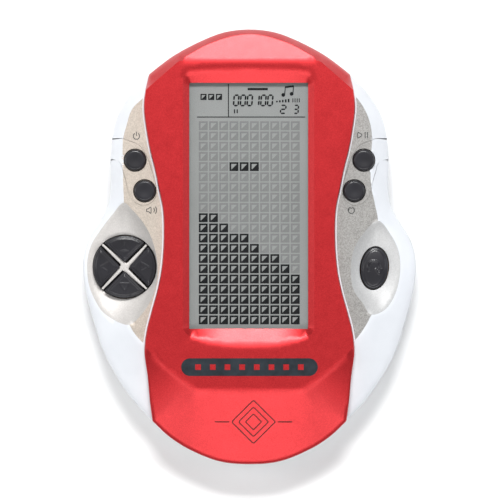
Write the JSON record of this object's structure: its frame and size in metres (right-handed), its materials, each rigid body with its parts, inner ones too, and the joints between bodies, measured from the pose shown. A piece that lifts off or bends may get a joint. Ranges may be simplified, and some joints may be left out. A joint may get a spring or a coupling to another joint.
{
  "type": "handheld LCD game",
  "caption": "Handheld block-stacking game with a tall segment LCD, a thumb pad, a large action key and small keys on winged grips.",
  "frame": {"origin": "centre of the case's footprint on the surface it lies on, back down", "axes": "+X to the action-key side, +Y to the top end of the screen, +Z out of the screen"},
  "size_m": [0.1252, 0.1634, 0.028],
  "materials": {
    "white_plastic": "moulded, satin",
    "red_plastic": "tinted moulded plastic, satin",
    "silver_plastic": "metallic paint over plastic, fine sparkle",
    "key_rubber": "matt black",
    "pad_rubber": "translucent grey silicone",
    "clear_lens": "clear, polished",
    "lcd": "grey reflective display",
    "frame_plastic": "matt white",
    "reflector": "satin film",
    "zebra": "pink and black conductive rubber",
    "board": "paper phenolic laminate",
    "epoxy": "black cast resin",
    "component": "matt black",
    "contact_metal": "bright nickel plate",
    "brass": "plain",
    "crystal": "silvered ceramic",
    "cell_jacket": "printed jacket over steel",
    "wire_red": "PVC sleeve",
    "wire_black": "PVC sleeve",
    "screw_steel": "zinc plated"
  },
  "bodies": {
    "case": {"rear_cover": "white_plastic", "front_housing": "white_plastic", "red_cover": "red_plastic", "left_key_bezel": "silver_plastic", "right_key_bezel": "silver_plastic", "lens": "clear_lens", "lcd_glass": "lcd", "lcd_reflector": "reflector", "lcd_frame": "frame_plastic", "zebra_strips": "zebra", "main_board": "board", "chip_blob": "epoxy", "chip_resistors": "component", "capacitor": "component", "dpad_rubber_pad": "pad_rubber", "rotate_rubber_pad": "pad_rubber", "left_rubber_pad": "pad_rubber", "right_rubber_pad": "pad_rubber", "battery_cell_upper": "cell_jacket", "battery_cell_lower": "cell_jacket", "cell_springs": "contact_metal", "bridge_contact": "contact_metal", "end_contacts": "contact_metal", "buzzer_disc": "brass", "buzzer_crystal": "crystal", "battery_wire_red": "wire_red", "battery_wire_black": "wire_black", "buzzer_wire_inner": "wire_red", "buzzer_wire_outer": "wire_black", "case_screws": "screw_steel", "board_screws": "screw_steel"},
    "power_key": {"power_key": "key_rubber"},
    "sound_key": {"sound_key": "key_rubber"},
    "start_key": {"start_key": "key_rubber"},
    "reset_key": {"reset_key": "key_rubber"},
    "dpad_up_key": {"dpad_up_key": "key_rubber"},
    "dpad_down_key": {"dpad_down_key": "key_rubber"},
    "dpad_left_key": {"dpad_left_key": "key_rubber"},
    "dpad_right_key": {"dpad_right_key": "key_rubber"},
    "rotate_key": {"rotate_key": "key_rubber"},
    "battery_door": {"battery_door": "white_plastic"}
  },
  "joints": [
    {"name": "power_press", "type": "slide", "parent": "case", "child": "power_key", "axis": [0, 0, -1], "range_m": [0, 0.0008], "stiffness_N_per_m": 900, "springref_m": -0.0003, "deforming": ["left_rubber_pad"]},
    {"name": "sound_press", "type": "slide", "parent": "case", "child": "sound_key", "axis": [0, 0, -1], "range_m": [0, 0.0008], "stiffness_N_per_m": 900, "springref_m": -0.0003, "deforming": ["left_rubber_pad"]},
    {"name": "start_press", "type": "slide", "parent": "case", "child": "start_key", "axis": [0, 0, -1], "range_m": [0, 0.0008], "stiffness_N_per_m": 900, "springref_m": -0.0003, "deforming": ["right_rubber_pad"]},
    {"name": "reset_press", "type": "slide", "parent": "case", "child": "reset_key", "axis": [0, 0, -1], "range_m": [0, 0.0008], "stiffness_N_per_m": 900, "springref_m": -0.0003, "deforming": ["right_rubber_pad"]},
    {"name": "dpad_up_press", "type": "slide", "parent": "case", "child": "dpad_up_key", "axis": [0, 0, -1], "range_m": [0, 0.0008], "stiffness_N_per_m": 900, "springref_m": -0.0003, "deforming": ["dpad_rubber_pad"]},
    {"name": "dpad_down_press", "type": "slide", "parent": "case", "child": "dpad_down_key", "axis": [0, 0, -1], "range_m": [0, 0.0008], "stiffness_N_per_m": 900, "springref_m": -0.0003, "deforming": ["dpad_rubber_pad"]},
    {"name": "dpad_left_press", "type": "slide", "parent": "case", "child": "dpad_left_key", "axis": [0, 0, -1], "range_m": [0, 0.0008], "stiffness_N_per_m": 900, "springref_m": -0.0003, "deforming": ["dpad_rubber_pad"]},
    {"name": "dpad_right_press", "type": "slide", "parent": "case", "child": "dpad_right_key", "axis": [0, 0, -1], "range_m": [0, 0.0008], "stiffness_N_per_m": 900, "springref_m": -0.0003, "deforming": ["dpad_rubber_pad"]},
    {"name": "rotate_press", "type": "slide", "parent": "case", "child": "rotate_key", "axis": [0, 0, -1], "range_m": [0, 0.0008], "stiffness_N_per_m": 900, "springref_m": -0.0003, "deforming": ["rotate_rubber_pad"]},
    {"name": "battery_door_hinge", "type": "hinge", "parent": "case", "child": "battery_door", "pos_m": [0, -0.0336, 0.0014], "axis": [1, 0, 0], "range_deg": [0, 75]}
  ]
}
